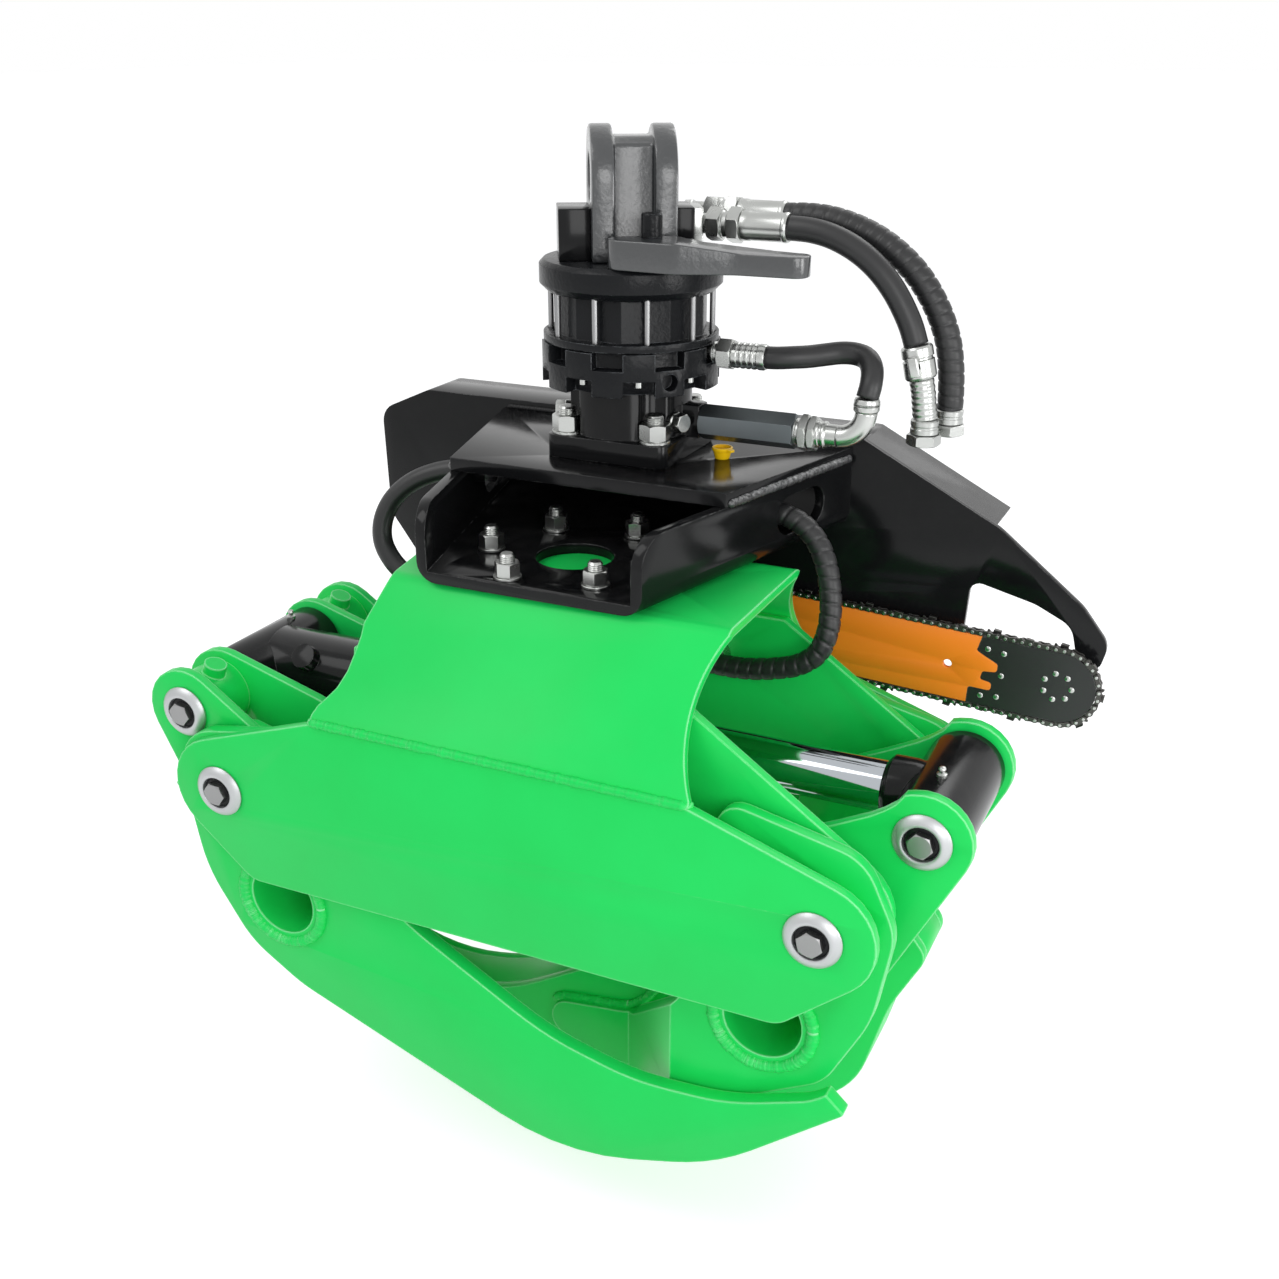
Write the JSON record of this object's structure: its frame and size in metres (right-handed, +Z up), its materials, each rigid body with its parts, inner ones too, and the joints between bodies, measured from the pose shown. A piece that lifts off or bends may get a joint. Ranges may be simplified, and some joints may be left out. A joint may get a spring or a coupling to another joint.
{
  "type": "grapple saw",
  "caption": "Hydraulic timber grapple with bypassing jaws, one closing cylinder, a rotator with a hanger lug, and a swinging chain-saw bar behind a guard.",
  "frame": {"origin": "centre of the hanger lug's bore", "axes": "+X along the grapple towards the bar's nose, +Y from the open front towards the saw, +Z up"},
  "size_m": [1.0082, 0.577, 1.1036],
  "materials": {
    "green_paint": "gloss",
    "black_paint": "gloss",
    "cast_paint": "satin black paint on a rough casting",
    "zinc_steel": "zinc plated",
    "rod_chrome": "hard chrome",
    "tube_steel": "machined",
    "hose_rubber": "matt",
    "orange_paint": "gloss",
    "nose_paint": "satin",
    "chain_steel": "oiled",
    "yellow_cap": "gloss"
  },
  "bodies": {
    "rotator_upper": {"hanger_lug": "cast_paint", "rotator_flange": "cast_paint", "rotator_drum": "cast_paint", "tie_bolts": "zinc_steel", "port_blocks": "black_paint", "hose_guard_arm": "cast_paint", "guard_arm_bolt": "cast_paint", "supply_fittings": "zinc_steel", "supply_hose_front": "hose_rubber", "hose_coupling": "zinc_steel", "supply_hose_tail": "zinc_steel", "supply_hose_rear": "hose_rubber", "hose_end_fittings": "zinc_steel"},
    "grapple_frame": {"rotor_ring": "cast_paint", "rotor_shaft": "tube_steel", "rotor_pedestal": "black_paint", "pedestal_bolts": "zinc_steel", "pedestal_plugs": "zinc_steel", "jumper_fittings": "zinc_steel", "jumper_hose": "hose_rubber", "saw_box_shell": "black_paint", "box_top_plate": "black_paint", "floor_bolts": "zinc_steel", "breather_cap": "yellow_cap", "hood": "green_paint", "front_outer_plate": "green_paint", "rear_outer_plate": "green_paint", "front_inner_plate": "green_paint", "rear_inner_plate": "green_paint", "pivot_pins": "tube_steel", "pivot_pin_bolts": "zinc_steel", "cylinder_hoses": "hose_rubber", "hose_bulkheads": "zinc_steel", "saw_guard": "black_paint", "saw_motor": "cast_paint"},
    "left_arm": {"left_jaw_front": "green_paint", "left_jaw_rear": "green_paint", "left_ear_plates": "green_paint", "left_ear_bosses": "green_paint", "left_pivot_hubs": "green_paint", "left_cross_tube": "green_paint", "left_spine": "green_paint", "left_ear_pin": "zinc_steel"},
    "right_arm": {"right_jaw_front": "green_paint", "right_jaw_rear": "green_paint", "right_tine_sides": "green_paint", "right_tine_spine": "green_paint", "right_ear_plates": "green_paint", "right_pivot_hubs": "green_paint", "right_cross_tube": "green_paint", "right_ear_pin": "zinc_steel"},
    "cylinder_barrel_body": {"cylinder_barrel": "black_paint", "cylinder_gland": "black_paint"},
    "cylinder_rod_body": {"cylinder_rod": "rod_chrome", "cylinder_piston": "tube_steel"},
    "saw_bar": {"bar_body": "orange_paint", "bar_nose": "nose_paint", "saw_chain": "chain_steel", "bar_clamp": "zinc_steel"},
    "saw_sprocket": {"drive_sprocket": "tube_steel"}
  },
  "joints": [
    {"name": "rotator_spin", "type": "hinge", "parent": "rotator_upper", "child": "grapple_frame", "pos_m": [0, 0, 0], "axis": [0, 0, 1], "continuous": true},
    {"name": "left_jaw", "type": "hinge", "parent": "grapple_frame", "child": "left_arm", "pos_m": [-0.35, -0.143, -0.647], "axis": [0, 1, 0], "range_deg": [0, 90]},
    {"name": "right_jaw", "type": "hinge", "parent": "grapple_frame", "child": "right_arm", "pos_m": [0.35, -0.143, -0.647], "axis": [0, 1, 0], "range_deg": [-90, 0]},
    {"name": "barrel_pivot", "type": "hinge", "parent": "left_arm", "child": "cylinder_barrel_body", "pos_m": [-0.422, -0.143, -0.579], "axis": [0, 1, 0], "range_deg": [-90, 0]},
    {"name": "rod_pivot", "type": "hinge", "parent": "right_arm", "child": "cylinder_rod_body", "pos_m": [0.422, -0.143, -0.579], "axis": [0, 1, 0], "range_deg": [0, 90]},
    {"name": "bar_swing", "type": "hinge", "parent": "grapple_frame", "child": "saw_bar", "pos_m": [-0.26, 0.093, -0.497], "axis": [0, 1, 0], "range_deg": [0, 95]},
    {"name": "sprocket_spin", "type": "hinge", "parent": "grapple_frame", "child": "saw_sprocket", "pos_m": [-0.26, 0.093, -0.497], "axis": [0, 1, 0], "continuous": true}
  ],
  "couplings": [
    {"joint": "right_jaw", "follows": "left_jaw", "ratio": -1},
    {"joint": "barrel_pivot", "follows": "left_jaw", "ratio": -1},
    {"joint": "rod_pivot", "follows": "left_jaw", "ratio": 1}
  ]
}
